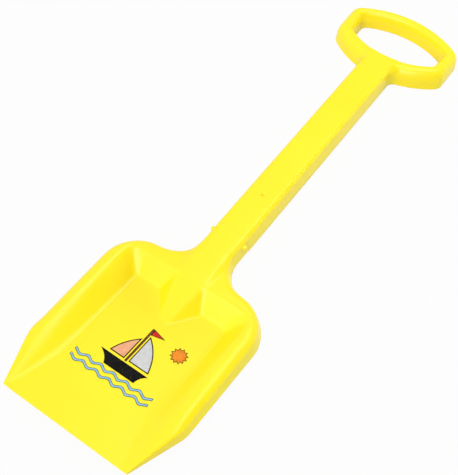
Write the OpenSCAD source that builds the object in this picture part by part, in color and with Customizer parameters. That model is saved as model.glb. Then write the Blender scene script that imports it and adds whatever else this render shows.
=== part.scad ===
// Toy sand shovel: a scoop blade with a socket neck, a plug-in handle with a D-shaped grip,
// two snap catches that hold the handle's tang in the neck, and a print on the scoop's floor.
// Millimetres, +Z up. Y runs from the front edge to the grip and X runs across.
// The origin is on the ground, under the middle of the shovel as it lies with the scoop upwards.

/* [Overall] */
// Length from the front edge of the blade to the end of the grip
total_length = 520; // [460:5:600]
// Height of the shaft's flat top above the ground
top_z = 19.5; // [18.5:0.5:24]
// Thickness of the moulded walls
wall = 2.2; // [1.6:0.1:2.8]
// Gap between the tang and its socket, on each side
fit_gap = 0.3; // [0.2:0.05:0.5]

/* [Blade] */
// Length from the front edge to the back of the skirt
blade_len = 168; // [150:1:190]
// Width across the skirt
blade_w = 151; // [135:1:170]
// Width of the straight front edge
front_w = 118; // [104:1:130]
// Distance from the front edge to the bend in the sides
kink_len = 47; // [35:1:60]
// Height of the front edge above the ground
front_z = 18; // [12:0.5:19]
// How far the rim stands above the shaft's top at the bend in the sides
rim_rise = 2.8; // [0:0.2:6]
// How far the rim lies below the shaft's top at the back
rim_drop = 0.7; // [0.3:0.1:2]
// Width of the rolled rim, from the skirt's top to the inner wall
rim_w = 15; // [12:0.5:18]
// Outer radius of the rolled rim
rim_r = 5; // [3.5:0.5:6]
// Radius of the rim's inner edge
lip_r = 2.6; // [1.5:0.1:4]
// Outward lean of the skirt
skirt_lean = 2; // [1:0.5:4]
// How far the skirt's lower edge clears the floor's underside at the back
skirt_lift = 2.5; // [1:0.5:4]
// Horizontal run of the sloping inner walls
wall_run = 10.5; // [7:0.5:13]
// Fillet where the inner walls meet the floor
foot_r = 2.5; // [1.5:0.5:4]
// Plan radius of the back corners, at the skirt
corner_r = 36; // [28:1:40]

/* [Neck and ramp] */
// Distance from the back of the skirt to the joint with the handle
neck_len = 42; // [36:0.5:50]
// Plan radius of the fillets between the neck and the skirt
neck_r = 26; // [18:1:28]
// How far the neck's underside lies above the shaft's underside
neck_step = 1; // [0.6:0.1:2]
// Distance from the ramp's nose to the back of the skirt
ramp_len = 55; // [45:1:65]
// Width of the ramp's foot at the back wall
ramp_w = 46; // [40:1:50]
// Width of the ramp's blunt nose
ramp_nose_w = 7; // [4:0.5:10]

/* [Shaft] */
// Width of the shaft's top, measured to the sharp corner
shaft_top_w = 29; // [26:0.5:32]
// Width across the shaft's lower edges
shaft_low_w = 34; // [32:0.5:38]
// Height of the shaft's section
shaft_h = 17.5; // [16.5:0.5:18.5]
// Radius of the shaft's top edges
shaft_r = 3.2; // [2:0.2:4]
// Spacing of the cross ribs inside the shaft
rib_pitch = 32; // [24:1:48]
// Thickness of the cross ribs
rib_t = 1.6; // [1.2:0.1:2.2]
// Distance from the joint to the moulding gate's mark
gate_from_joint = 44.5; // [30:1:90]
// Diameter of the moulding gate's mark
gate_d = 2.4; // [1.6:0.2:4]

/* [Grip] */
// Width across the grip
grip_w = 117; // [107:1:130]
// Width of the hand opening
hand_w = 86; // [80:1:92]
// Length of the hand opening along the middle
hand_len = 46.5; // [42:0.5:52]
// Width of the far bar at its middle
far_bar = 12.5; // [11.5:0.5:16]
// Width of the near bar at its middle
near_bar = 16; // [13:0.5:18]
// How far the far bar's outside arches
far_arch = 18; // [14:1:22]
// How far the near bar's outside arches
near_arch = 22; // [18:1:26]
// How far the far side of the opening arches
hand_far_arch = 11; // [8:1:14]
// How far the near side of the opening arches
hand_near_arch = 13; // [10:1:16]
// How far the grip's top lies below the shaft's top
grip_drop = 0.5; // [0.3:0.1:1.5]
// Inward lean of the bars' sides over their height
grip_lean = 1.2; // [0.6:0.1:2]
// Radius of the bars' top edges
bar_r = 3.6; // [2.5:0.1:4]
// Radius of the fillets between the grip and the shaft
grip_fillet = 9; // [6:0.5:12]

/* [Catches] */
// Length of the tang inside the neck
tang_len = 46; // [42:1:50]
// Width of the socket in the neck
socket_w = 24; // [22:0.5:25]
// Length of a catch from its knuckle to the outer end of its nose
catch_len = 26.5; // [24:0.5:30]
// Thickness of a catch's tongue
catch_t = 1.6; // [1.2:0.1:2]
// Height of a catch's tongue
catch_h = 6; // [5:0.5:7]
// Length of a catch's nose along the shaft
nose_len = 5.5; // [4:0.5:6]
// Height of a catch's nose
nose_h = 4.8; // [4:0.2:5]
// How far a nose stands out of the neck's side
nose_out = 2.4; // [1:0.2:3]
// Depth of the noses' middle below the shaft's top
nose_drop = 7.5; // [7:0.1:8]
// Radius of a catch's knuckle
knuckle_r = 1.4; // [1.2:0.1:1.6]
// Running clearance round the knuckle
knuckle_gap = 0.06; // [0.03:0.01:0.1]
// Room between a catch and the walls beside it
catch_gap = 0.4; // [0.3:0.05:0.6]
// Angle through which a catch is pressed in until its nose is inside the socket
catch_swing = 15; // [14:1:16]

/* [Print] */
// Thickness of the printed film
print_t = 0.25; // [0.2:0.05:0.4]
// Gap of the film above the scoop's floor
print_gap = 0.03; // [0.02:0.01:0.06]
// Clear border between the print and the foot of the walls and the ramp
print_border = 8; // [5:1:12]
// Length of the printed boat's deck
boat_len = 46; // [36:1:50]
// Height of the printed hull
hull_h = 10; // [8:0.5:14]
// Height of the printed mast
mast_h = 36; // [30:1:40]
// Width of the printed mast
mast_w = 2; // [1.5:0.1:3]
// Width of the wider printed sail
sail_w = 19; // [14:1:22]
// Height of the printed pennant
pennant_h = 6; // [4:0.5:8]
// Diameter of the printed sun
sun_d = 15; // [10:1:18]
// Length of one printed wave
wave_len = 12.5; // [8:0.5:18]
// Thickness of the printed wave lines
wave_t = 2.4; // [1.5:0.1:3]

/* [Hidden] */
$fn = 48;
plastic = [0.99, 0.92, 0.12];
front_y = -total_length / 2;
back_y = front_y + blade_len;
joint_y = back_y + neck_len;
end_y = total_length / 2;
cut = 1;

// Scoop: distances in from the skirt's lower edge
run = skirt_lean + rim_w + wall_run + foot_r;
lip_in = skirt_lean + rim_w - lip_r;
turn = 60;
heel_len = blade_len - run;
foot_corner = 3;
rim_kink_z = top_z + rim_rise;
rim_back_z = top_z - rim_drop;
rim_high = rim_back_z - wall;
front_lip = 0.3;
front_wall = 3;
foot_sweep = 1.6;

function lerp(a, b, t) = a + (b - a) * t;
function floor_z(l) = lerp(front_z, wall, l / heel_len);
function rim_z(l) = l < kink_len
    ? lerp(front_z + front_lip, rim_kink_z, l / kink_len)
    : lerp(rim_kink_z, rim_back_z, min(1, (l - kink_len) / (blade_len - lip_in - kink_len)));
function skirt_z(l) = floor_z(min(l, heel_len)) - wall + skirt_lift * min(1, l / heel_len);
function skirt_x(l) = l < kink_len
    ? lerp(front_w, blade_w, l / kink_len) / 2
    : blade_w / 2;
foot_x = blade_w / 2 - run;
function floor_x(l) = l < kink_len
    ? foot_x + (front_w / 2 - front_wall - foot_x) * pow(1 - l / kink_len, foot_sweep)
    : foot_x;

// Stations round the right half of the rim: the skirt's point and the floor's point of each
side_end = blade_len - corner_r;
side_foot_end = blade_len - run - foot_corner;
front_steps = [0, 0.2, 0.4, 0.6, 0.8];
side_steps = [0, 0.2, 0.4, 0.6, 0.8];
back_steps = [0.66, 0.33, 0];
corner_step = 9;
half_stations = concat(
    [for (t = front_steps) let (l = t * kink_len) [[skirt_x(l), l], [floor_x(l), l]]],
    [for (t = side_steps) [
        [blade_w / 2, lerp(kink_len, side_end, t)],
        [foot_x, lerp(kink_len, side_foot_end, t)]]],
    [for (a = [0 : corner_step : 90]) [
        [blade_w / 2 - corner_r + corner_r * cos(a), side_end + corner_r * sin(a)],
        [foot_x - foot_corner + foot_corner * cos(a), side_foot_end + foot_corner * sin(a)]]],
    [for (t = back_steps) [
        [(blade_w / 2 - corner_r) * t, blade_len],
        [(foot_x - foot_corner) * t, heel_len]]]
);
half_n = len(half_stations);
function flip(p) = [-p[0], p[1]];
stations = concat(
    half_stations,
    [for (i = [half_n - 2 : -1 : 0]) [flip(half_stations[i][0]), flip(half_stations[i][1])]]
);
station_n = len(stations);

// Wall section, from the skirt's lower edge over the rim to the floor and back underneath.
// Each point is a distance in from the skirt, the level it hangs from, and heights above that level.
SKIRT = 0;
RIM = 1;
FLOOR = 2;
round_steps = 3;
section_top = concat(
    [[0, SKIRT, 0, 0]],
    [for (i = [0 : round_steps]) let (a = 90 * i / round_steps)
        [skirt_lean + rim_r * (1 - cos(a)), RIM, -rim_r * (1 - sin(a)), 0]],
    [for (i = [0 : round_steps]) let (a = turn * i / round_steps)
        [lip_in + lip_r * sin(a), RIM, -lip_r * (1 - cos(a)), 0]],
    [for (i = [round_steps : -1 : 0]) let (a = turn * i / round_steps)
        [run - foot_r * sin(a), FLOOR, foot_r * (1 - cos(a)), 0]]
);
lean_in = wall * sin(turn);
lean_down = wall * cos(turn);
section_under = [
    [run, FLOOR, 0, -wall],
    [run - foot_r * sin(turn) - lean_in, FLOOR, foot_r * (1 - cos(turn)), -lean_down],
    [lip_in + lip_r * sin(turn) - lean_in, RIM, -lip_r * (1 - cos(turn)) - lean_down, -lean_down],
    [lip_in, RIM, 0, -wall],
    [skirt_lean + rim_r, RIM, 0, -wall],
    [skirt_lean + wall, RIM, -(rim_r - wall), -wall],
    [wall, SKIRT, 0, 0]
];
section = concat(section_top, section_under);
top_n = len(section_top);
section_n = len(section);
function level(kind, l) = kind == SKIRT ? skirt_z(l) : kind == RIM ? rim_z(l) : floor_z(l);
function section_point(s, p) = let (
        spot = lerp(s[0], s[1], p[0] / run),
        l = spot[1],
        high = min(1, (rim_z(l) - floor_z(l)) / rim_high)
    ) [spot[0], front_y + l, level(p[1], l) + p[2] * high + p[3]];

module scoop() {
    ring_points = [for (s = stations) for (p = section) section_point(s, p)];
    mid_len = heel_len / 2;
    top_mid = len(ring_points);
    low_mid = top_mid + 1;
    last = station_n - 1;
    in_top = top_n - 1;
    in_low = top_n;
    function at(s, k) = s * section_n + k % section_n;
    points = concat(ring_points, [
        [0, front_y + mid_len, floor_z(mid_len)],
        [0, front_y + mid_len, floor_z(mid_len) - wall]]);
    strips = [for (s = [0 : last - 1]) for (k = [0 : section_n - 1]) if (k != in_top)
        each [[at(s, k), at(s + 1, k + 1), at(s + 1, k)], [at(s, k), at(s, k + 1), at(s + 1, k + 1)]]];
    floor_top = [for (s = [0 : last - 1]) [top_mid, at(s + 1, in_top), at(s, in_top)]];
    floor_low = [for (s = [0 : last - 1]) [low_mid, at(s, in_low), at(s + 1, in_low)]];
    front = [
        [top_mid, at(0, in_top), at(last, in_top)],
        [low_mid, at(last, in_low), at(0, in_low)],
        [at(0, in_top), at(last, in_low), at(last, in_top)],
        [at(0, in_top), at(0, in_low), at(last, in_low)]
    ];
    ends = [
        [for (k = [section_n - 1 : -1 : 0]) at(0, k)],
        [for (k = [0 : section_n - 1]) at(last, k)]
    ];
    polyhedron(points = points, faces = concat(strips, floor_top, floor_low, front, ends));
}

// Shaft and neck section: a flat top with rounded edges over sides that lean outwards
lean = atan((shaft_low_w - shaft_top_w) / 2 / shaft_h);
shaft_low = top_z - shaft_h;
neck_low = shaft_low + neck_step;
round_x = shaft_top_w / 2 + shaft_r * tan(lean) - shaft_r / cos(lean);
edge_steps = 6;
function shaft_x(z) = shaft_top_w / 2 + (top_z - z) * tan(lean);

module along_y(from_y, to_y) {
    translate([0, to_y, 0]) rotate([90, 0, 0]) linear_extrude(to_y - from_y) children();
}

module shaft_section(low_z) {
    edge = [for (i = [0 : edge_steps]) let (a = lerp(lean, 90, i / edge_steps))
        [round_x + shaft_r * cos(a), top_z - shaft_r + shaft_r * sin(a)]];
    polygon(concat(
        [[-shaft_x(low_z), low_z], [shaft_x(low_z), low_z]],
        edge,
        [for (i = [edge_steps : -1 : 0]) flip(edge[i])]));
}

module channel_section(low_z) {
    high_z = top_z - wall;
    low_x = shaft_x(low_z) - wall;
    high_x = shaft_x(high_z) - wall;
    polygon([[-low_x, low_z], [low_x, low_z], [high_x, high_z], [-high_x, high_z]]);
}

// Fillet in plan between a wall along Y at x = 0 and a wall along X at y = 0, hollow underneath.
// Its root ends inside the walls that it joins.
web_root = 0.75 * wall;
module fillet_web(r, low_z, high_z) {
    module plan(cut_r) {
        difference() {
            translate([-web_root, -web_root]) square(r + web_root);
            translate([r, r]) circle(cut_r);
        }
    }
    difference() {
        translate([0, 0, low_z]) linear_extrude(high_z - low_z) plan(r);
        translate([0, 0, low_z - cut]) linear_extrude(high_z - low_z - wall + cut) plan(r + wall);
    }
}

// Socket, tang and catches share these places
socket_low = neck_low + wall;
socket_top = top_z - wall;
tang_w = socket_w - 2 * fit_gap;
tang_low = socket_low + fit_gap;
tang_h = socket_top - socket_low - 2 * fit_gap;
tang_wall = 2;
tang_end_gap = 1;
nose_set = 2.2;
nose_lead = 0.4 * nose_len;
nose_steps = 4;
nose_z = top_z - nose_drop;
nose_y = joint_y - nose_set - nose_len;
nose_tip = shaft_x(nose_z) + nose_out;
knuckle_in = 0.5;
knuckle_x = tang_w / 2 - knuckle_r - knuckle_in;
knuckle_y = joint_y - nose_set - catch_len;
slot_h = catch_h + 2 * catch_gap;

neck_start = back_y - skirt_lean - rim_w + lip_r;
ramp_top_x = round_x + shaft_r / 2;
ramp_sink = 0.6;
ramp_dip = 0.2;
ramp_slope = 58;

module ramp_wedge() {
    foot_len = heel_len + foot_r;
    nose_l = blade_len - ramp_len;
    foot_z = floor_z(foot_len) - ramp_sink;
    end_z = floor_z(nose_l) - ramp_sink;
    points = [
        [ramp_top_x, neck_start + cut, top_z - ramp_dip],
        [-ramp_top_x, neck_start + cut, top_z - ramp_dip],
        [-ramp_w / 2, front_y + foot_len, foot_z],
        [ramp_w / 2, front_y + foot_len, foot_z],
        [ramp_nose_w / 2, front_y + nose_l, end_z],
        [-ramp_nose_w / 2, front_y + nose_l, end_z]
    ];
    polyhedron(points, [[0, 4, 5, 1], [0, 3, 4], [1, 5, 2], [2, 5, 4, 3], [0, 1, 2, 3]]);
}

module neck() {
    web_y = back_y - skirt_lean / 2;
    along_y(neck_start, joint_y) shaft_section(neck_low);
    for (side = [0, 1]) mirror([side, 0, 0])
        translate([shaft_x(neck_low), web_y, 0])
            fillet_web(neck_r, neck_low, rim_back_z - rim_r);
}

module socket_cut() {
    socket_y = joint_y - tang_len - tang_end_gap;
    window_h = nose_h + 2 * catch_gap;
    translate([-socket_w / 2, socket_y, socket_low])
        cube([socket_w, joint_y - socket_y + cut, socket_top - socket_low]);
    for (side = [0, 1]) mirror([side, 0, 0])
        translate([socket_w / 2 - cut, nose_y - catch_gap, nose_z - window_h / 2])
            cube([shaft_low_w, nose_len + 2 * catch_gap, window_h]);
}

module blade() {
    ramp_skin = wall / cos(ramp_slope);
    color(plastic) difference() {
        union() {
            scoop();
            neck();
            ramp_wedge();
        }
        translate([0, 0, -ramp_skin]) ramp_wedge();
        socket_cut();
    }
}

// Grip: an outline of two arcs and two straight ends, once for the outside and once for the opening
arc_steps = 10;
bend_steps = 4;
function arc_y(x, half, arch) = let (r = (half * half + arch * arch) / (2 * arch))
    r - sqrt(r * r - x * x);
function bend(a, b, c, t) = lerp(lerp(a, b, t), lerp(b, c, t), t);
function grip_outline(half, near_y, near_up, far_y, far_down, corner) = let (
        flat = half - corner,
        far_end = [half, far_y - far_down],
        near_end = [half, near_y + near_up],
        far_side = [for (i = [0 : arc_steps]) let (x = flat * (1 - 2 * i / arc_steps))
            [x, far_y - arc_y(x, half, far_down)]],
        near_side = [for (i = [0 : arc_steps]) let (x = flat * (2 * i / arc_steps - 1))
            [x, near_y + arc_y(x, half, near_up)]],
        far_bend = [for (i = [1 : bend_steps - 1])
            bend(flip(far_side[0]), flip(far_end), flip(far_end) - [0, corner], i / bend_steps)],
        near_bend = [for (i = [0 : bend_steps - 1])
            bend(flip(near_end) + [0, corner], flip(near_end), near_side[0], i / bend_steps)]
    ) concat(
        far_side,
        far_bend,
        [flip(far_end) - [0, corner]],
        near_bend,
        near_side,
        [for (i = [bend_steps - 1 : -1 : 0]) flip(near_bend[i])],
        [far_end - [0, corner]],
        [for (i = [bend_steps - 2 : -1 : 0]) flip(far_bend[i])]
    );

grip_top = top_z - grip_drop;
hand_far_y = end_y - far_bar;
hand_near_y = hand_far_y - hand_len;
grip_near_y = hand_near_y - near_bar;
outer_bend = 5;
hand_bend = 4;
grip_outer = grip_outline(grip_w / 2, grip_near_y, near_arch, end_y, far_arch, outer_bend);
grip_inner = grip_outline(hand_w / 2, hand_near_y, hand_near_arch, hand_far_y, hand_far_arch, hand_bend);

// Bar section: distances in from the outside or the opening's side, and heights
bar_steps = 4;
bar_edge = [for (i = [0 : bar_steps]) let (a = 90 * i / bar_steps)
    [grip_lean + bar_r * (1 - cos(a)), grip_top - bar_r * (1 - sin(a))]];
bar_section = concat(
    [[0, 0, 0]],
    [for (e = bar_edge) [0, e[0], e[1]]],
    [for (i = [bar_steps : -1 : 0]) [1, bar_edge[i][0], bar_edge[i][1]]],
    [[1, 0, 0], [1, wall, 0], [1, wall + grip_lean, grip_top - wall]],
    [[0, wall + grip_lean, grip_top - wall], [0, wall, 0]]
);
bar_n = len(bar_section);
grip_n = len(grip_outer);
function bar_point(i, p) = let (
        from = p[0] == 0 ? grip_outer[i] : grip_inner[i],
        to = p[0] == 0 ? grip_inner[i] : grip_outer[i],
        spot = from + (to - from) * p[1] / norm(to - from)
    ) [spot[0], spot[1], p[2]];

module grip() {
    function at(i, k) = (i % grip_n) * bar_n + k % bar_n;
    points = [for (i = [0 : grip_n - 1]) for (p = bar_section) bar_point(i, p)];
    faces = [for (i = [0 : grip_n - 1]) for (k = [0 : bar_n - 1])
        each [[at(i, k), at(i + 1, k + 1), at(i + 1, k)], [at(i, k), at(i, k + 1), at(i + 1, k + 1)]]];
    polyhedron(points, faces);
}

module shaft() {
    shaft_start = joint_y + fit_gap;
    shaft_end = hand_near_y - 2 * grip_lean;
    hollow_start = shaft_start + wall;
    hollow_end = grip_near_y - wall;
    rib_n = floor((hollow_end - hollow_start) / rib_pitch);
    rib_low = shaft_low + 2 * wall;
    gate_deep = 0.4;
    difference() {
        along_y(shaft_start, shaft_end) shaft_section(shaft_low);
        difference() {
            along_y(hollow_start, hollow_end) channel_section(shaft_low - cut);
            for (i = [1 : rib_n])
                translate([-shaft_low_w / 2, hollow_start + i * rib_pitch - rib_t / 2, rib_low])
                    cube([shaft_low_w, rib_t, shaft_h]);
        }
        translate([0, joint_y + gate_from_joint, top_z - gate_deep]) cylinder(d = gate_d, h = cut);
    }
}

module grip_fillets() {
    edge_x = shaft_x(shaft_low);
    edge_y = grip_near_y + arc_y(edge_x + grip_fillet, grip_w / 2, near_arch);
    for (side = [0, 1]) mirror([side, 0, 0])
        translate([edge_x, edge_y, 0]) mirror([0, 1, 0])
            fillet_web(grip_fillet, shaft_low, grip_top - bar_r);
}

module tang() {
    tang_y = joint_y - tang_len;
    boss_w = tang_w / 2 - knuckle_x + knuckle_r + tang_wall;
    boss_len = 2 * (knuckle_r + tang_wall);
    slot_x = knuckle_x - catch_t / 2 - catch_gap - boss_len / 2 * tan(catch_swing);
    slot_y = knuckle_y + knuckle_r / 2;
    slot_end = joint_y - nose_set + 2 * catch_gap;
    difference() {
        union() {
            difference() {
                translate([-tang_w / 2, tang_y, tang_low])
                    cube([tang_w, tang_len + fit_gap + wall / 2, tang_h]);
                translate([-tang_w / 2 + tang_wall, tang_y + tang_wall, tang_low - cut])
                    cube([tang_w - 2 * tang_wall, tang_len - tang_wall, tang_h - tang_wall + cut]);
            }
            for (side = [0, 1]) mirror([side, 0, 0])
                translate([tang_w / 2 - boss_w, knuckle_y - boss_len / 2, tang_low])
                    cube([boss_w, boss_len, tang_h]);
        }
        for (side = [0, 1]) mirror([side, 0, 0]) {
            translate([knuckle_x, knuckle_y, nose_z - slot_h / 2])
                cylinder(r = knuckle_r + knuckle_gap, h = slot_h);
            translate([slot_x, slot_y, nose_z - slot_h / 2])
                cube([tang_w, slot_end - slot_y, slot_h]);
        }
    }
}

module handle() {
    color(plastic) {
        shaft();
        grip_fillets();
        grip();
        tang();
    }
}

// One catch on the right side: a knuckle, a thin tongue and a nose with a sloping lead-in.
// The nose's holding face runs round the knuckle, so it swings in past the window's edge.
module snap_catch() {
    root_x = knuckle_x - catch_t / 2;
    hold_face = [for (i = [0 : nose_steps]) let (out = (nose_tip - knuckle_x) * (1 - i / nose_steps))
        [knuckle_x + out, knuckle_y + sqrt(catch_len * catch_len - out * out)]];
    translate([knuckle_x, knuckle_y, nose_z - catch_h / 2]) cylinder(r = knuckle_r, h = catch_h);
    translate([root_x, knuckle_y, nose_z - catch_h / 2]) cube([catch_t, catch_len, catch_h]);
    translate([0, 0, nose_z - nose_h / 2]) linear_extrude(nose_h) polygon(concat(
        [
            [knuckle_x, nose_y],
            [nose_tip - nose_out, nose_y],
            [nose_tip, nose_y + nose_lead]
        ],
        hold_face
    ));
}

module catch_right() {
    color(plastic) snap_catch();
}

module catch_left() {
    color(plastic) mirror([1, 0, 0]) snap_catch();
}

// Print: flat shapes that lie on the sloping floor
floor_tilt = atan((front_z - wall) / heel_len);
print_half = foot_x - print_border;
print_back = blade_len - ramp_len - print_border;
print_space = 1.2;
mast_foot = -mast_h - print_space;
hull_foot = mast_foot - hull_h;
wave_rise = 1.3;
wave_rows = 2;
wave_steps = 8;
wave_pitch = 2.5 * wave_t;

// The print's own frame has y = 0 at the mast's top, next to the ramp
module on_floor() {
    translate([0, front_y + print_back, floor_z(print_back)]) rotate([-floor_tilt, 0, 0])
        translate([0, 0, print_gap]) linear_extrude(print_t) children();
}

module hull_shape() {
    deck = boat_len / 2;
    polygon([
        [-deck, mast_foot],
        [-deck + hull_h, hull_foot],
        [deck - hull_h / 2, hull_foot],
        [deck, mast_foot]
    ]);
}

module sail_shape(width, height) {
    luff_x = mast_w / 2 + print_space;
    sail_foot = -mast_h + print_space;
    polygon([[luff_x, sail_foot], [luff_x + width, sail_foot], [luff_x, sail_foot + height]]);
}

module pennant_shape() {
    polygon([[mast_w / 2, -pennant_h], [mast_w / 2 + 2 * pennant_h, -pennant_h / 2], [mast_w / 2, 0]]);
}

module wave_shape(middle_y) {
    step = wave_len / wave_steps;
    crest = [for (x = [-print_half : step : print_half])
        [x, middle_y + wave_rise * cos(360 * x / wave_len)]];
    count = len(crest);
    polygon(concat(crest, [for (i = [count - 1 : -1 : 0]) crest[i] - [0, wave_t]]));
}

module print() {
    main_h = mast_h - pennant_h - 2 * print_space;
    jib_drop = 5;
    color("dimgray") on_floor() hull_shape();
    color("sienna") on_floor() translate([-mast_w / 2, -mast_h]) square([mast_w, mast_h]);
    color("lightgray") on_floor() sail_shape(sail_w, main_h);
    color("sandybrown") on_floor() mirror([1, 0]) sail_shape(sail_w - jib_drop, main_h - jib_drop);
    color("red") on_floor() pennant_shape();
    color("orange") on_floor() translate([print_half - sun_d / 2, -sun_d / 2]) circle(d = sun_d);
    color("skyblue") for (i = [0 : wave_rows - 1])
        on_floor() wave_shape(hull_foot - print_space - wave_rise - i * wave_pitch);
}

blade();
handle();
catch_left();
catch_right();
print();
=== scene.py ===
# %% [markdown]
# A toy sand shovel: a shallow scoop with a rolled rim, a neck that the handle plugs into, a straight
# shaft and a D-shaped grip. All of it is thin yellow moulded plastic, open underneath, with a
# printed picture on the scoop's floor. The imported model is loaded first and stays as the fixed
# frame: every piece below is built in metres in that frame and stands for one of its nodes.

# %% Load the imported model
import math

import bmesh
import bpy
from mathutils import Matrix, Vector


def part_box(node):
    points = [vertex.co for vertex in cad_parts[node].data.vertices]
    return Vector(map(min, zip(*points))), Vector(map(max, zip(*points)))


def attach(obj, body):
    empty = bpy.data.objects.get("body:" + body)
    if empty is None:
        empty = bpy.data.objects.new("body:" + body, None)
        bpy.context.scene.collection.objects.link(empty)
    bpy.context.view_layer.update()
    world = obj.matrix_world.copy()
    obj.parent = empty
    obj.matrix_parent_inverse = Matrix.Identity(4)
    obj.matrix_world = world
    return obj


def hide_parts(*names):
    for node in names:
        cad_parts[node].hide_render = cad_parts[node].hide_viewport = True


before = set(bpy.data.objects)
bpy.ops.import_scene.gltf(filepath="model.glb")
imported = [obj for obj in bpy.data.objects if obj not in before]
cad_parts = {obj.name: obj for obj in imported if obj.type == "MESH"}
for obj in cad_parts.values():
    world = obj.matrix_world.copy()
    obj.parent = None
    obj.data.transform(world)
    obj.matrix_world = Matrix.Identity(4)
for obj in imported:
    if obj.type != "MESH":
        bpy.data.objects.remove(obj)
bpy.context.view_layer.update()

print("nodes:", sorted(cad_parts))

# %% [markdown]
# The main sizes are read from the frame, so the pieces keep to the solids. The rest are the
# moulding's own small sizes: its wall, its rounded edges and the places along its length. A place
# along the blade is counted from the front edge, because the floor and the rim both slope from there.

# %% Measure the frame
blade_low, blade_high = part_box("blade")
handle_low, handle_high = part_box("handle")
front_y = blade_low.y
joint_y = blade_high.y
end_y = handle_high.y
top_z = handle_high.z
blade_half = blade_high.x
grip_half = handle_high.x
rim_peak = blade_high.z
wall = 0.0022
fit_gap = 0.0003
joint_gap = 0.0001
print("blade half width", round(blade_half, 4), "joint at", round(joint_y, 4), "top at", round(top_z, 4))

# %% [markdown]
# Moulded plastic has no sharp creases. Where two surfaces meet, the tool that cuts the mould leaves
# a small radius. These helpers blend two heights with such a radius, and the rest of the blade and
# the handle is written with them.

# %% Blending helpers
def soft_max(a, b, reach):
    """The higher of two heights, with the inner crease between them filled over reach."""
    if reach <= 0:
        return max(a, b)
    overlap = max(reach - abs(a - b), 0)
    return max(a, b) + overlap * overlap / (4 * reach)


def soft_min(a, b, reach):
    """The lower of two heights, with the outer edge between them rounded over reach."""
    return -soft_max(-a, -b, reach)


def mix(a, b, t):
    return a + (b - a) * t


def ease(t):
    t = min(max(t, 0), 1)
    return t * t * (3 - 2 * t)


def corner_gap(a, b, radius):
    """Distance outside a box's corner with this radius, from the distances past its two sides."""
    a, b = a + radius, b + radius
    return math.hypot(max(a, 0), max(b, 0)) + min(max(a, b), 0) - radius


print("a filled crease of 2 mm:", round(soft_max(0, 0, 0.002), 5))

# %% [markdown]
# The scoop is a tray: a floor that falls from the thin front edge to the heel, walls that lean out,
# and a rolled rim. The front corners are cut off at a slant, so the walls and the rim run out to
# nothing at the front edge. Each of these is a line along the length, written as one function.

# %% Lines along the blade
front_z = 0.018
front_half = 0.059
kink_len = 0.047
blade_len = 0.168
scoop_run = 0.030
heel_len = blade_len - scoop_run
foot_half = blade_half - scoop_run
foot_spread = 0.0105
lip_in = 0.0144
lip_len = blade_len - lip_in
front_lip = 0.0003
rim_drop = 0.0012
skirt_lift = 0.0025
web_from, web_to = 0.178, 0.193
web_dip = 0.0022
web_half, web_fade = 0.020, 0.018
kink_soft = 0.005
peak_soft = 0.0012
foot_curve = 1.1


def floor_z(l):
    return mix(front_z, wall, l / heel_len)


def skirt_half(l):
    slant = (blade_half - front_half) / kink_len
    return blade_half - slant * soft_max(kink_len - l, 0, kink_soft)


def floor_half(l):
    return foot_half + foot_spread * max(1 - l / kink_len, 0) ** foot_curve


def lip_half(l):
    return mix(skirt_half(l), floor_half(l), lip_in / scoop_run)


def rim_z(l, x=blade_half):
    rise = mix(front_z + front_lip, rim_peak, l / kink_len)
    fall = mix(rim_peak, top_z - rim_drop, min((l - kink_len) / (lip_len - kink_len), 1))
    up = ease((l - web_from) / (web_to - web_from))
    beside_neck = 1 - ease((abs(x) - web_half) / web_fade)
    dip = web_dip * ease((l - lip_len) / (web_from - lip_len)) * beside_neck
    return soft_min(rise, fall, peak_soft) + rim_drop * up - dip * (1 - up)


def skirt_z(l):
    return floor_z(min(l, heel_len)) - wall + skirt_lift * min(l / heel_len, 1)


print("floor at the heel", round(floor_z(heel_len), 4), "rim at the kink", round(rim_z(kink_len), 4))

# %% [markdown]
# The ramp is a wedge with a blunt nose that rises from the floor to the neck's top. Its two edges
# carry straight on as the shaft's edges, so ramp and neck are one surface. The blade's height is
# the higher of tray and ramp, with a soft seam between them.

# %% Height of the blade
foot_corner = 0.003
lip_corner = 0.010
foot_soft = 0.0024
lip_soft, back_lip_soft = 0.0042, 0.0019
wall_high = 0.008
lip_fade = 0.025
ramp_nose_l = 0.1135
ramp_top_l = 0.1546
ramp_nose_half = 0.0034
neck_flat_half = 0.0128
ramp_sink = 0.0006
ramp_side = 0.955
neck_side = 1.0
edge_soft = 0.0024
crest_soft = 0.0045
seam_soft = 0.0032
share_curve = 0.6
side_from, side_run = 0.146, 0.014


def tray_z(x, l):
    floor, rim = floor_z(min(l, heel_len)), rim_z(l, x)
    past_foot = corner_gap(abs(x) - floor_half(l), l - heel_len, foot_corner)
    to_lip = -corner_gap(abs(x) - lip_half(l), l - lip_len, lip_corner)
    side = mix(floor, rim, past_foot / (past_foot + to_lip))
    share = min((rim - floor) / wall_high, 1) ** share_curve
    lip = mix(back_lip_soft, lip_soft, ease((lip_len - l) / lip_fade))
    return soft_min(soft_max(floor, side, foot_soft * share), rim, lip * share)


def ramp_z(x, l):
    nose_z = floor_z(ramp_nose_l) - ramp_sink
    along = (l - ramp_nose_l) / (ramp_top_l - ramp_nose_l)
    crest = soft_min(mix(nose_z, top_z, along), top_z, crest_soft)
    half = mix(ramp_nose_half, neck_flat_half, min(max(along, 0), 1))
    fall = mix(ramp_side, neck_side, ease((l - side_from) / side_run))
    return crest - soft_max(fall * (abs(x) - half), 0, edge_soft)


def blade_z(x, l):
    seam = seam_soft * min(max((top_z - rim_z(l, x)) / rim_drop, 0), 1)
    return soft_max(tray_z(x, l), ramp_z(x, l), seam)


print("ramp top", round(blade_z(0, ramp_top_l), 4), "neck top", round(blade_z(0, web_to), 4))

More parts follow.
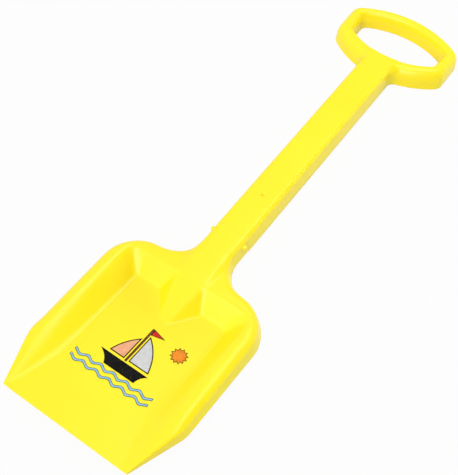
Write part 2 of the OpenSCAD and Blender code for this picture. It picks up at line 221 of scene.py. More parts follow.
# %% [markdown]
# Seen from above, the blade's edge goes straight back from the front corner, round the back corner,
# then swings the other way into the neck. Rows of the sheet start at this edge. Each row keeps its
# place on the edge, the direction to the inside, and how far it has become neck.

# %% Rows along the blade's edge
corner_r = 0.036
neck_r = 0.026
side_lean = 1 / 7
shaft_low_half = 0.017
shaft_low = 0.002
neck_low = 0.003
neck_half = shaft_low_half - side_lean * (neck_low - shaft_low)
corner_x, corner_l = blade_half - corner_r, blade_len - corner_r
bend_x = neck_half + neck_r
bend_l = corner_l + math.sqrt((corner_r + neck_r) ** 2 - (bend_x - corner_x) ** 2)
turn = math.atan2(bend_l - corner_l, bend_x - corner_x)
window_low_l, window_high_l = 0.2021, 0.2080
neck_len = joint_y - front_y
front_n, side_n, corner_n, neck_n = 30, 34, 44, 36
neck_stops = [0.198, window_low_l, 0.204, 0.206, window_high_l]
end_strip = 0.0006


def blade_rows():
    straight = [kink_len * i / front_n for i in range(front_n)]
    straight += [mix(kink_len, corner_l, i / side_n) for i in range(side_n)]
    rows = [(skirt_half(l), l, -1, 0, 0) for l in straight]
    for i in range(corner_n):
        a = math.asin(math.sin(turn) * i / corner_n)
        rows.append((corner_x + corner_r * math.cos(a), corner_l + corner_r * math.sin(a),
                     -math.cos(a), -math.sin(a), 0))
    for i in range(neck_n):
        a = mix(turn - math.pi, -math.pi, i / neck_n)
        rows.append((bend_x + neck_r * math.cos(a), bend_l + neck_r * math.sin(a),
                     math.cos(a), math.sin(a), ease(i / neck_n)))
    for l in [bend_l, *neck_stops, neck_len - end_strip, neck_len]:
        rows.append((neck_half, l, -1, 0, 1))
    return rows


rows = blade_rows()
print(len(rows), "rows; the corner turns", round(math.degrees(turn), 1), "degrees")

# %% [markdown]
# Across a row, the columns first climb the skirt, go round the rolled edge and then run over the
# middle. They are closest together where the surface bends: at the rim, the foot and the ramp. On the
# neck, two of the skirt's steps lie at the lower and the upper edge of the catches' windows.

# %% Columns across the blade
rim_r = 0.0075
front_rim, front_fade = 0.4, 0.012
neck_top_r = 0.0045
skirt_lean = 0.002
neck_lean = 0.0019
band_w = 0.0105
skirt_high = 0.012
side_steps = [1, 0.75, 0.483, 0.25, 0.0167]
window_step = 2
arc_steps = 8
band_n = len(side_steps) + arc_steps + 1
foot_share = foot_half / (blade_half - band_w)
ramp_step, ramp_n = 0.008, 48
plain_from, plain_step, plain_n = 0.384, 0.0264, 7
plain_to = plain_from + plain_step * plain_n
foot_n, wall_n = 6, 34
floor_cols = [ramp_step * i for i in range(ramp_n)]
floor_cols += [plain_from + plain_step * i for i in range(1, plain_n + 1)]
floor_cols += [mix(plain_to, foot_share, i / foot_n) for i in range(1, foot_n + 1)]
wall_cols = [mix(foot_share, 1, i / wall_n) for i in range(1, wall_n)]
inner_cols = floor_cols + wall_cols


def edge_point(row, inward):
    x, l, in_x, in_l, _ = row
    width = min((skirt_half(l) - floor_half(l)) / scoop_run, 1) if l < kink_len else 1
    return x + in_x * inward * width, l + in_l * inward * width


def band_point(row, step):
    """Point of the skirt or the rolled edge: step 0 is the skirt's foot, the last step the rim's top."""
    l, neck = row[1], row[4]
    roll = mix(front_rim, 1, ease((l - kink_len + front_fade) / (2 * front_fade)))
    radius, lean = mix(rim_r * roll, neck_top_r, neck), mix(skirt_lean, neck_lean, neck)
    low = mix(skirt_z(l), neck_low, neck)
    drop = radius * min((rim_z(l) - low) / skirt_high, 1)
    if step < len(side_steps):
        down = side_steps[step]
        x, l = edge_point(row, lean * (1 - down))
        side_top = blade_z(*edge_point(row, lean)) - drop
        return x, l, mix(side_top, low, down)
    a = math.pi / 2 * (step - len(side_steps)) / arc_steps
    x, l = edge_point(row, lean + radius * (1 - math.cos(a)))
    return x, l, blade_z(x, l) - drop * (1 - math.sin(a))


def middle_point(row, share):
    """Point between the blade's middle line, share 0, and the rolled edge, share 1."""
    edge_x, l = edge_point(row, band_w)
    foot_x = floor_half(l) if l < corner_l else foot_share * edge_x
    if share < foot_share:
        x = foot_x * share / foot_share
    else:
        x = mix(foot_x, edge_x, (share - foot_share) / (1 - foot_share))
    return x, l, blade_z(x, l)


print(len(inner_cols), "columns from the middle line to the rim,", band_n, "round the rim")

# %% [markdown]
# A wide thin moulding could be boxed out and subdivided, but its ramp, walls and rim would then need
# many hand-set loops. Here one flat grid is laid out with as many rows and columns as listed above,
# and each of its points is moved to its place. The grid operator makes the faces, so the sheet is
# one unbroken surface from skirt to skirt.

# %% Sheet helper
def new_piece(name, bm, *finishes):
    """Turns a bmesh into an object at the origin, with smooth faces and its finishes."""
    bm.normal_update()
    for face in bm.faces:
        face.smooth = True
    mesh = bpy.data.meshes.new(name)
    bm.to_mesh(mesh)
    bm.free()
    obj = bpy.data.objects.new(name, mesh)
    bpy.context.scene.collection.objects.link(obj)
    for finish in finishes:
        mesh.materials.append(finish)
    return obj


def grid_sheet(bm, across, along, place):
    """A grid whose point in column i and row j is put at place(i, j); gives its vertices by (i, j)."""
    made = bmesh.ops.create_grid(bm, x_segments=across - 1, y_segments=along - 1, size=1)["verts"]
    spots = {}
    for vert in made:
        i = round((vert.co.x + 1) / 2 * (across - 1))
        j = round((vert.co.y + 1) / 2 * (along - 1))
        spots[i, j] = vert
    for (i, j), vert in spots.items():
        vert.co = place(i, j)
    return spots


def give_wall(obj, edge=0.00015):
    """Gives a sheet the moulding's wall below it, and breaks the sharp edges."""
    solid = obj.modifiers.new("wall", "SOLIDIFY")
    solid.thickness = wall
    solid.offset = -1
    bevel = obj.modifiers.new("edges", "BEVEL")
    bevel.width = edge
    bevel.segments = 2
    bevel.limit_method = "ANGLE"
    bevel.angle_limit = math.radians(50)


print("helpers ready; wall", wall)

# %% [markdown]
# The blade sheet is made from left skirt to right skirt. The two windows for the catches are opened
# in the neck's sides by taking out the faces there, and the wall modifier gives their edges depth.

# %% Blade sheet
half_n = band_n + len(inner_cols)
across = 2 * half_n - 1


def blade_place(i, j):
    side = 1 if i >= half_n - 1 else -1
    k = abs(i - (half_n - 1))
    row = rows[j]
    if k < len(inner_cols):
        x, l, z = middle_point(row, inner_cols[k])
    else:
        x, l, z = band_point(row, band_n - 1 - (k - len(inner_cols)))
    return Vector((side * x, front_y + l, z))


def open_windows(bm, spots):
    """Takes out the skirt faces between two rows and two heights on both sides of the neck."""
    first = min(j for j, row in enumerate(rows) if row[1] >= window_low_l and row[4] == 1)
    last = max(j for j, row in enumerate(rows) if row[1] <= window_high_l)
    high = len(side_steps) - 1
    gone = []
    for j in range(first, last):
        for step in range(window_step, high):
            for i in (step, across - 1 - step):
                near = {spots[i, j], spots[i, j + 1]}
                away = spots[i + (1 if i < half_n else -1), j]
                gone += [f for f in spots[i, j].link_faces if near <= set(f.verts) and away in f.verts]
    bmesh.ops.delete(bm, geom=list(set(gone)), context="FACES")
    return len(set(gone))


blade_bm = bmesh.new()
blade_spots = grid_sheet(blade_bm, across, len(rows), blade_place)
window_faces = open_windows(blade_bm, blade_spots)
blade = new_piece("blade_shell", blade_bm)
give_wall(blade)
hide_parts("blade")
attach(blade, "blade")
print("blade sheet:", len(blade.data.polygons), "faces;", window_faces, "taken out for the windows")

# %% [markdown]
# Inside the neck is the socket for the tang, a plain box with one open end. It starts as a cube; its
# open face is inset and pushed in. The windows go through its sides: the box is cut with four
# planes, the small faces are removed and each pair of holes is joined by a bridge.

# %% Socket in the neck
socket_half = 0.012
socket_low, socket_high = 0.0052, 0.0173
socket_deep = 0.047
socket_skin = 0.0022
socket_back, socket_roof = 0.0002, 0.0003
window_down = 0.0075
window_mid_z = top_z - window_down
window_half_h = 0.0028
square_on = 0.9


def box_mesh(low, high):
    """A closed cube between two corners."""
    bm = bmesh.new()
    size = [b - a for a, b in zip(low, high)]
    middle = [(a + b) / 2 for a, b in zip(low, high)]
    bmesh.ops.create_cube(bm, size=1, matrix=Matrix.Translation(middle) @ Matrix.Diagonal((*size, 1)))
    return bm


def facing(bm, axis, sign):
    """The faces that look along one axis."""
    bm.normal_update()
    return [f for f in bm.faces if sign * f.normal[axis] > square_on]


def hollow(bm, axis, sign, lip, depth):
    """Insets the face that looks along an axis, and pushes it into the body."""
    face = facing(bm, axis, sign)
    bmesh.ops.inset_region(bm, faces=face, thickness=lip, use_even_offset=True)
    pushed = bmesh.ops.extrude_face_region(bm, geom=face)
    bmesh.ops.delete(bm, geom=face, context="FACES")
    way = [0, 0, 0]
    way[axis] = -sign * depth
    verts = [g for g in pushed["geom"] if isinstance(g, bmesh.types.BMVert)]
    bmesh.ops.translate(bm, verts=verts, vec=way)


def cut_window(bm, side, y_span, z_span):
    """Cuts a window through the two skins of a hollow box's side."""
    for axis, span in ((1, y_span), (2, z_span)):
        for place in span:
            spot, look = [0, 0, 0], [0, 0, 0]
            spot[axis], look[axis] = place, 1
            everything = bm.verts[:] + bm.edges[:] + bm.faces[:]
            bmesh.ops.bisect_plane(bm, geom=everything, plane_co=spot, plane_no=look)
    gone = []
    for face in bm.faces:
        middle = face.calc_center_median()
        inside = y_span[0] < middle.y < y_span[1] and z_span[0] < middle.z < z_span[1]
        if inside and side * middle.x > 0 and abs(face.normal.x) > square_on:
            gone.append(face)
    bmesh.ops.delete(bm, geom=gone, context="FACES")
    rims = [e for e in bm.edges if e.is_boundary]
    bmesh.ops.bridge_loops(bm, edges=rims)


socket_bm = box_mesh((-socket_half - socket_skin, joint_y - socket_deep - socket_skin, neck_low),
                     (socket_half + socket_skin, joint_y - socket_back, socket_high + socket_roof))
hollow(socket_bm, 1, 1, socket_skin, socket_deep)
for side in (-1, 1):
    cut_window(socket_bm, side, (front_y + window_low_l, front_y + window_high_l),
               (window_mid_z - window_half_h, window_mid_z + window_half_h))
bmesh.ops.recalc_face_normals(socket_bm, faces=socket_bm.faces[:])
socket = new_piece("neck_socket", socket_bm)
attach(socket, "blade")
print("socket:", len(socket.data.polygons), "faces")

# %% [markdown]
# The grip is a ring: two arched bars joined by short ends, round a hand opening. Its outside and its
# opening are drawn with the same number of stops, so each stop gives one section across the bar. The
# shaft runs into the near bar, so there the ring's outer edge is left open for it.

# %% Grip outlines
far_bar, near_bar, hand_len = 0.0125, 0.016, 0.0465
hand_half = 0.043
hand_far_y = end_y - far_bar
hand_near_y = hand_far_y - hand_len
grip_near_y = hand_near_y - near_bar
grip_drop = 0.0009
grip_top = top_z - grip_drop
grip_lean = 0.0006
bar_round, near_round = 0.46, 0.60
strip_round = 0.0042
bar_steep, near_steep = 1.3, 1.7
inner_steep = 2.3
grip_low = 0.0005
fillet_r = 0.009
near_arch, far_arch = 0.022, 0.018
arch_r = (grip_half ** 2 + near_arch ** 2) / (2 * near_arch)
fillet_x = shaft_low_half + fillet_r
fillet_y = grip_near_y + arch_r - math.sqrt((arch_r + fillet_r) ** 2 - fillet_x ** 2)
cut_x = fillet_x * arch_r / (arch_r + fillet_r)
outer_bend, hand_bend = 0.005, 0.004
hand_near_arch, hand_far_arch = 0.013, 0.011
hand_cut = 0.73
far_n, bend_n, end_n, near_n, middle_stops = 24, 8, 6, 14, 30
crowding = 1.35


def arch(x, half, rise):
    r = (half * half + rise * rise) / (2 * rise)
    return r - math.sqrt(r * r - x * x)


def curve_stop(a, b, c, t):
    return mix(mix(a, b, t), mix(b, c, t), t)


def ring_outline(half, near_y, near_rise, far_y, far_fall, bend, cut):
    """Stops on the right half, from the far bar's middle round to the near bar's middle."""
    flat = half - bend
    far_x = [mix(0, flat, i / far_n) for i in range(far_n + 1)]
    near_x = [mix(flat, cut, i / near_n) for i in range(near_n + 1)]
    near_x += [cut * (1 - i / middle_stops) ** crowding for i in range(1, middle_stops + 1)]
    far = [(x, far_y - arch(x, half, far_fall)) for x in far_x]
    near = [(x, near_y + arch(x, half, near_rise)) for x in near_x]
    far_end, near_end = far_y - far_fall, near_y + near_rise
    bends = []
    for start, knee, stop in ((far[-1], (half, far_end), (half, far_end - bend)),
                              ((half, near_end + bend), (half, near_end), near[0])):
        bends.append([tuple(curve_stop(*line, i / bend_n) for line in zip(start, knee, stop))
                      for i in range(1, bend_n + 1)])
    end = [(half, mix(far_end - bend, near_end + bend, i / end_n)) for i in range(1, end_n + 1)]
    return far + bends[0] + end + bends[1] + near[1:]


outer = ring_outline(grip_half, grip_near_y, near_arch, end_y, far_arch, outer_bend, cut_x)
inner = ring_outline(hand_half, hand_near_y, hand_near_arch, hand_far_y, hand_far_arch, hand_bend,
                     cut_x * hand_cut)
near_middle = len(outer) - 1
end_stop = far_n + 1 + bend_n
near_stop = end_stop + end_n + bend_n
cut_stop = near_middle - middle_stops
print(len(outer), "stops on half a ring; the shaft joins at x =", round(cut_x, 4))

# %% [markdown]
# The shaft's flat top carries on across the near bar as a low strip with a soft step, right up to the
# hand opening. The height of the handle is the higher of bar and strip, less the rounding at an edge.
# A small dent on the shaft is the mark of the gate, where the plastic went into the mould.

# %% Height of the handle
strip_half = 0.0130
strip_fall = 0.32
strip_soft = 0.0006
strip_seam = 0.0004
gate_y = -0.0055
gate_r = 0.0021
gate_deep = 0.0019
gate_flat = 1.6


def handle_z(x, y):
    drop = grip_drop * ease((y - fillet_y) / (grip_near_y - fillet_y))
    strip = top_z - soft_max(strip_fall * (abs(x) - strip_half), 0, strip_soft)
    if y > hand_near_y + near_bar:
        return grip_top
    dent = gate_deep * ease(gate_flat * (1 - math.hypot(x, y - gate_y) / gate_r))
    return soft_max(top_z - drop, strip, strip_seam * drop / grip_drop) - dent


bar_side = [1, 0.66, 0.33]
bar_arc = 8
bar_band = len(bar_side) + bar_arc + 1
bar_flat = 4
bar_across = 2 * bar_band + bar_flat - 1


def bar_band_point(stop, step, lean, radius, deep, low):
    """Point on a bar's side, from its foot at step 0 to the end of a rounding, radius wide and deep high."""
    (x, y), (to_x, to_y) = stop
    long = math.hypot(to_x - x, to_y - y)
    way = ((to_x - x) / long, (to_y - y) / long)
    if step < len(bar_side):
        inward = lean * (1 - bar_side[step])
    else:
        a = math.pi / 2 * (step - len(bar_side)) / bar_arc
        inward = lean + radius * (1 - math.cos(a))
    px, py = x + way[0] * inward, y + way[1] * inward
    if step < len(bar_side):
        ex, ey = x + way[0] * lean, y + way[1] * lean
        return Vector((px, py, mix(handle_z(ex, ey) - deep, low, bar_side[step])))
    return Vector((px, py, handle_z(px, py) - deep * (1 - math.sin(a))))


def bar_rounding(station):
    """The rounding's width and depth on a bar's outer side, then on the opening's side."""
    (x, y), (to_x, to_y) = outer[station], inner[station]
    wide = math.hypot(to_x - x, to_y - y)
    near = ease((station - end_stop) / (near_stop - end_stop))
    outside = mix(bar_round, near_round, near) * wide - grip_lean
    inside = mix(bar_round * wide - grip_lean, strip_round, near)
    deep = mix(bar_steep, near_steep, near) * outside
    return outside, deep, inside, mix(inner_steep, bar_steep, near) * inside


def ring_point(station, k):
    """Point k across the bar at a stop, from its outer foot over the top to the opening's foot."""
    pair = outer[station], inner[station]
    outside, deep, inside, inner_deep = bar_rounding(station)
    if k < bar_band:
        return bar_band_point(pair, k, grip_lean, outside, deep, grip_low)
    if k >= bar_across - bar_band:
        return bar_band_point(pair[::-1], bar_across - 1 - k, grip_lean, inside, inner_deep, grip_low)
    a = ring_point(station, bar_band - 1)
    b = ring_point(station, bar_across - bar_band)
    spot = a.lerp(b, (k - bar_band + 1) / bar_flat)
    spot.z = handle_z(spot.x, spot.y)
    return spot


print("bar section has", bar_across, "points; grip top", round(grip_top, 4))

# %% [markdown]
# The ring is one long grid bent round on itself, and the shaft is a second grid whose last row lies on
# the ring's open edge. Both go into one bmesh, and merging the doubles makes them one moulding.

# %% Rows up the shaft
shaft_start = joint_y + joint_gap
shaft_rounding = 0.0045
shaft_lean = side_lean * (top_z - shaft_rounding - shaft_low)
gate_rows, gate_step, gate_clear = 10, 0.00025, 0.004
plain_rows, fillet_rows = 40, 28


def flip(point, side):
    return Vector((side * point.x, point.y, point.z))


def shaft_rows():
    """Rows up the shaft: a place on its right edge, the way inwards, and how far it has become bar."""
    near_gate = [gate_y + gate_step * i for i in range(-gate_rows, gate_rows + 1)]
    plain = [mix(shaft_start, fillet_y, i / plain_rows) for i in range(plain_rows)]
    plain = [y for y in plain if abs(y - gate_y) > gate_clear]
    places = sorted([shaft_start + end_strip] + near_gate + plain)
    made = [((shaft_low_half, y), Vector((-1, 0)), 0) for y in places]
    start, stop = Vector(outer[cut_stop]), Vector(inner[cut_stop])
    last = math.atan2(start.y - fillet_y, start.x - fillet_x)
    for i in range(fillet_rows + 1):
        a = mix(math.pi, last, i / fillet_rows)
        bar = ease(i / fillet_rows)
        round_way = Vector((math.cos(a), math.sin(a)))
        way = round_way.lerp((stop - start).normalized(), bar).normalized()
        spot = fillet_x + fillet_r * math.cos(a), fillet_y + fillet_r * math.sin(a)
        made.append((spot, way, bar))
    return made


shaft_list = shaft_rows()
print(len(shaft_list), "rows up the shaft, from", round(shaft_start, 4), "to", round(shaft_list[-1][0][1], 4))

# %% [markdown]
# Towards the grip the shaft's rows bow more and more, until the last one lies on the ring's open edge.

# %% Handle sheet
merge_gap = 0.00001
shaft_across = 2 * (bar_band - 1) + 2 * middle_stops + 1
ring_rows = 2 * near_middle + 1


def ring_place(i, j):
    side = 1 if j <= near_middle else -1
    return flip(ring_point(near_middle - abs(j - near_middle), i), side)


def shaft_band(row, step):
    (x, y), way, bar = row
    stop = (x, y), (x + way.x, y + way.y)
    outside, deep, _, _ = bar_rounding(cut_stop)
    return bar_band_point(stop, step, mix(shaft_lean, grip_lean, bar), mix(shaft_rounding, outside, bar),
                          mix(shaft_rounding, deep, bar), mix(shaft_low, grip_low, bar))


def shaft_place(i, j):
    row, last = shaft_list[j], j == len(shaft_list) - 1
    side = 1 if i > shaft_across // 2 else -1
    k = abs(i - shaft_across // 2)
    if k > middle_stops:
        step = bar_band - 1 - (k - middle_stops)
        return flip(ring_point(cut_stop, step) if last else shaft_band(row, step), side)
    chain = ring_point(near_middle - k, bar_band - 1)
    if last:
        return flip(chain, side)
    end, middle = ring_point(cut_stop, bar_band - 1), ring_point(near_middle, bar_band - 1)
    edge = shaft_band(row, bar_band - 1)
    bow = (chain.y - middle.y) / (end.y - middle.y)
    x = edge.x * chain.x / end.x
    done = max((edge.y - fillet_y) / (end.y - fillet_y), 0)
    middle_y = mix(fillet_y, middle.y, done) if done else edge.y
    y = mix(middle_y, edge.y, bow)
    return flip(Vector((x, y, handle_z(x, y))), side)


handle_bm = bmesh.new()
ring_spots = grid_sheet(handle_bm, bar_across, ring_rows, ring_place)
for_shaft = [ring_spots[i, j] for i in range(bar_band - 1)
             for j in range(cut_stop + 1, 2 * near_middle - cut_stop)]
bmesh.ops.delete(handle_bm, geom=for_shaft, context="VERTS")
grid_sheet(handle_bm, shaft_across, len(shaft_list), shaft_place)
bmesh.ops.remove_doubles(handle_bm, verts=handle_bm.verts[:], dist=merge_gap)
handle = new_piece("handle_shell", handle_bm)
give_wall(handle)
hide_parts("handle")
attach(handle, "handle")
print("handle sheet:", len(handle.data.polygons), "faces")

# %% [markdown]
# Below the sheet the shaft is an open channel. Seven thin ribs stiffen it and a plate closes its end
# at the joint. Each is a flat outline of a few points, pulled to its thickness and broken at the edges.

# %% Ribs and end plate
rib_low = shaft_low + 2 * wall
rib_high = top_z - wall / 2
rib_t = 0.0016
rib_pitch = 0.032
rib_count = 7
rib_cut, end_cut = 0.0026, 0.0036
end_gap, end_inset = 0.0002, 0.0004
plate_edge = 0.0002
sharp_from = 0.6


def plate_mesh(outline, axis, thickness):
    """A flat outline of a few points, pulled along one axis."""
    bm = bmesh.new()
    face = bm.faces.new([bm.verts.new(spot) for spot in outline])
    pulled = bmesh.ops.extrude_face_region(bm, geom=[face])
    way = [0, 0, 0]
    way[axis] = thickness
    verts = [g for g in pulled["geom"] if isinstance(g, bmesh.types.BMVert)]
    bmesh.ops.translate(bm, verts=verts, vec=way)
    bmesh.ops.recalc_face_normals(bm, faces=bm.faces[:])
    return bm


def channel_half(z, inset):
    return shaft_low_half - side_lean * (z - shaft_low) - inset


def break_edges(bm, width, segments=2):
    sharp = [e for e in bm.edges if len(e.link_faces) == 2 and e.calc_face_angle() > sharp_from]
    bmesh.ops.bevel(bm, geom=sharp, offset=width, offset_type="OFFSET", affect="EDGES",
                    segments=segments, profile=0.5, material=-1, clamp_overlap=True)


def under_plate(name, y, thickness, low, high, inset, cut):
    """A plate across the shaft's channel, with its upper corners cut to follow the rounded edge."""
    shoulder = channel_half(high - cut, inset)
    half = [channel_half(low, inset), shoulder, shoulder - cut]
    heights = [low, high - cut, high]
    right = [(x, y, z) for x, z in zip(half, heights)]
    bm = plate_mesh(right + [(-x, y, z) for x, y, z in reversed(right)], 1, thickness)
    break_edges(bm, plate_edge)
    piece = new_piece(name, bm)
    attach(piece, "handle")
    return piece


ribs = [under_plate(f"shaft_rib_{n + 1}", shaft_start + wall + (n + 1) * rib_pitch - rib_t / 2, rib_t,
                    rib_low, rib_high, wall / 2, rib_cut) for n in range(rib_count)]
end_plate = under_plate("shaft_end_plate", shaft_start + end_gap, wall, shaft_low + end_gap,
                        top_z - end_inset, end_inset, end_cut)
print(len(ribs), "ribs and an end plate")

# %% [markdown]
# The tang is the part of the handle that hides in the socket: a box open at the bottom, with a long
# slot in each side in which a catch lies. It is made like the socket, with an inset, a push and a cut.

# %% Tang
tang_half = socket_half - fit_gap
tang_low, tang_high = socket_low + fit_gap, socket_high - fit_gap
tang_skin = 0.002
catch_low, catch_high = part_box("catch_right")
knuckle_r = 0.0014
catch_gap = 0.0004
knuckle_x, knuckle_y = catch_low.x + knuckle_r, catch_low.y + knuckle_r
catch_mid_z = (catch_low.z + catch_high.z) / 2
slot_half_h = (catch_high.z - catch_low.z) / 2 + catch_gap

tang_bm = box_mesh((-tang_half, handle_low.y, tang_low), (tang_half, shaft_start + wall / 2, tang_high))
hollow(tang_bm, 2, -1, tang_skin, tang_high - tang_low - tang_skin)
for side in (-1, 1):
    cut_window(tang_bm, side, (knuckle_y - knuckle_r - catch_gap, catch_high.y + 2 * catch_gap),
               (catch_mid_z - slot_half_h, catch_mid_z + slot_half_h))
bmesh.ops.recalc_face_normals(tang_bm, faces=tang_bm.faces[:])
tang = new_piece("handle_tang", tang_bm)
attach(tang, "handle")
print("tang from", round(handle_low.y, 4), "to", round(shaft_start, 4))

# %% [markdown]
# A catch is a springy tongue with a nose that snaps into the neck's window. On the real part it bends;
# here it turns on a knuckle. It is a small cylinder, a flat bar and a nose pulled up from its outline,
# and the nose's holding face runs round the knuckle so that it can swing in.

# %% Catches
catch_t = 0.0016
nose_len, nose_out, nose_half_h = 0.0055, 0.0024, 0.0026
nose_lead = 0.4 * nose_len
catch_reach = catch_high.y - knuckle_y
catch_edge, nose_edge = 0.0003, 0.0005
knuckle_sides, nose_n = 32, 8


def catch_mesh():
    bm = box_mesh((knuckle_x - catch_t / 2, knuckle_y, catch_low.z),
                  (knuckle_x + catch_t / 2, catch_high.y, catch_high.z))
    break_edges(bm, catch_edge)
    spot = Matrix.Translation((knuckle_x, knuckle_y, catch_mid_z))
    bmesh.ops.create_cone(bm, cap_ends=True, segments=knuckle_sides, radius1=knuckle_r, radius2=knuckle_r,
                          depth=catch_high.z - catch_low.z, matrix=spot)
    low, nose_y = catch_mid_z - nose_half_h, catch_high.y - nose_len
    outline = [(knuckle_x, nose_y, low), (catch_high.x - nose_out, nose_y, low),
               (catch_high.x, nose_y + nose_lead, low)]
    for i in range(nose_n + 1):
        out = (catch_high.x - knuckle_x) * (1 - i / nose_n)
        outline.append((knuckle_x + out, knuckle_y + math.sqrt(catch_reach ** 2 - out ** 2), low))
    nose = plate_mesh(outline, 2, 2 * nose_half_h)
    break_edges(nose, nose_edge, segments=3)
    holder = bpy.data.meshes.new("nose_part")
    nose.to_mesh(holder)
    nose.free()
    bm.from_mesh(holder)
    bpy.data.meshes.remove(holder)
    return bm


catches = []
for body, side in (("catch_right", 1), ("catch_left", -1)):
    catch_bm = catch_mesh()
    if side < 0:
        bmesh.ops.scale(catch_bm, vec=(-1, 1, 1), verts=catch_bm.verts[:])
        bmesh.ops.reverse_faces(catch_bm, faces=catch_bm.faces[:])
    piece = new_piece(body + "_tongue", catch_bm)
    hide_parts(body)
    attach(piece, body)
    catches.append(piece)
print("catches of", len(catches[0].data.polygons), "faces")

# %% [markdown]
# Every surface gets a finish made of nodes. Object coordinates place the patterns, so they stay with
# the piece when it moves. The helper below adds one node with its settings and joins its inputs, which
# keeps each finish readable as a list of layers.

# %% Finish helper
def new_finish(name):
    """A material with a Principled shader; gives the material, its node tree and the shader."""
    finish = bpy.data.materials.new(name)
    finish.use_nodes = True
    tree = finish.node_tree
    return finish, tree, tree.nodes["Principled BSDF"]


def add(tree, kind, inputs=None, **settings):
    """Adds a node; an input is a plain value or another node's output."""
    made = tree.nodes.new("ShaderNode" + kind)
    for name, value in settings.items():
        setattr(made, name, value)
    for key, value in (inputs or {}).items():
        if isinstance(value, bpy.types.NodeSocket):
            tree.links.new(value, made.inputs[key])
        else:
            made.inputs[key].default_value = value
    return made


def spread(tree, value, low, high, to_low, to_high):
    """Maps one range of a value onto another, and keeps it inside."""
    return add(tree, "MapRange", {0: value, 1: low, 2: high, 3: to_low, 4: to_high}).outputs[0]


def tint(tree, share, under, over):
    """Mixes two colours by a share."""
    made = add(tree, "Mix", data_type="RGBA")
    for socket, value in ((made.inputs[0], share), (made.inputs[6], under), (made.inputs[7], over)):
        if isinstance(value, bpy.types.NodeSocket):
            tree.links.new(value, socket)
        else:
            socket.default_value = value
    return made.outputs[2]


print("finish helpers ready")

# %% [markdown]
# The plastic is glossy lemon yellow, moulded in one shot. Close up it has a very fine orange-peel
# texture, slow clouds of colour where the melt cooled unevenly, and light scuffs from handling, which
# run mostly along the length. Edges that stand out are worn a little paler.

# %% Yellow plastic
deep_yellow, clear_yellow = (0.990, 0.790, 0.005, 1), (0.995, 0.835, 0.009, 1)
scuffed_yellow, worn_yellow = (0.995, 0.860, 0.060, 1), (0.998, 0.900, 0.130, 1)


def yellow_plastic():
    finish, tree, shader = new_finish("yellow_moulded_plastic")
    place = add(tree, "TexCoord").outputs["Object"]
    clouds = add(tree, "TexNoise", {"Vector": place, "Scale": 16.0, "Detail": 3.0}).outputs[0]
    along = add(tree, "Mapping", {"Vector": place, "Scale": (420.0, 36.0, 420.0)}).outputs[0]
    scuffs = add(tree, "TexNoise", {"Vector": along, "Scale": 1.0, "Detail": 5.0, "Roughness": 0.6}).outputs[0]
    scuff = spread(tree, scuffs, 0.58, 0.80, 0.0, 0.22)
    peel = add(tree, "TexNoise", {"Vector": place, "Scale": 650.0, "Detail": 2.0}).outputs[0]
    edge = add(tree, "NewGeometry").outputs["Pointiness"]
    worn = spread(tree, edge, 0.515, 0.60, 0.0, 0.30)
    body = tint(tree, spread(tree, clouds, 0.2, 0.8, 0.0, 1.0), deep_yellow, clear_yellow)
    scuffed = tint(tree, scuff, body, scuffed_yellow)
    tree.links.new(tint(tree, worn, scuffed, worn_yellow), shader.inputs["Base Color"])
    gloss = spread(tree, clouds, 0.2, 0.8, 0.28, 0.36)
    rough = add(tree, "Math", {0: scuff, 1: 0.35, 2: gloss}, operation="MULTIPLY_ADD").outputs[0]
    tree.links.new(rough, shader.inputs["Roughness"])
    bump = add(tree, "Bump", {"Strength": 0.10, "Distance": 0.0003, "Height": peel})
    tree.links.new(bump.outputs[0], shader.inputs["Normal"])
    shader.inputs["IOR"].default_value = 1.5
    return finish


yellow = yellow_plastic()
yellow_pieces = [blade, socket, handle, end_plate, tang, *ribs, *catches]
for piece in yellow_pieces:
    piece.data.materials.append(yellow)
print("yellow plastic on", len(yellow_pieces), "pieces")

# %% [markdown]
# The print is ink on the scoop's floor: a sailing boat with two sails, waves below it and a sun. Inks
# are thin and slightly uneven, a little duller than the plastic and worn through in tiny specks.

# %% Inks
bare_plastic = (0.97, 0.80, 0.015, 1)


def ink(name, dark, light):
    finish, tree, shader = new_finish(name)
    place = add(tree, "TexCoord").outputs["Object"]
    patches = add(tree, "TexNoise", {"Vector": place, "Scale": 240.0, "Detail": 4.0}).outputs[0]
    colour = tint(tree, spread(tree, patches, 0.35, 0.65, 0.0, 1.0), dark, light)
    specks = add(tree, "TexNoise", {"Vector": place, "Scale": 1500.0, "Detail": 2.0}).outputs[0]
    bare = spread(tree, specks, 0.70, 0.76, 0.0, 0.8)
    tree.links.new(tint(tree, bare, colour, bare_plastic), shader.inputs["Base Color"])
    tree.links.new(spread(tree, patches, 0.3, 0.7, 0.36, 0.48), shader.inputs["Roughness"])
    shader.inputs["Specular IOR Level"].default_value = 0.04
    bump = add(tree, "Bump", {"Strength": 0.15, "Distance": 0.0002, "Height": patches})
    tree.links.new(bump.outputs[0], shader.inputs["Normal"])
    return finish


inks = {
    "line": ink("ink_black", (0.004, 0.004, 0.005, 1), (0.009, 0.009, 0.010, 1)),
    "hull": ink("ink_dark", (0.005, 0.005, 0.006, 1), (0.011, 0.011, 0.012, 1)),
    "sail": ink("ink_pale_grey", (0.560, 0.560, 0.570, 1), (0.640, 0.640, 0.640, 1)),
    "jib": ink("ink_peach", (0.760, 0.360, 0.190, 1), (0.830, 0.440, 0.260, 1)),
    "mast": ink("ink_brown", (0.120, 0.050, 0.022, 1), (0.170, 0.075, 0.032, 1)),
    "pennant": ink("ink_red", (0.550, 0.022, 0.018, 1), (0.640, 0.035, 0.028, 1)),
    "sun": ink("ink_orange", (0.800, 0.230, 0.020, 1), (0.870, 0.300, 0.040, 1)),
    "wave": ink("ink_light_blue", (0.240, 0.480, 0.720, 1), (0.320, 0.570, 0.780, 1)),
}
print(len(inks), "inks")

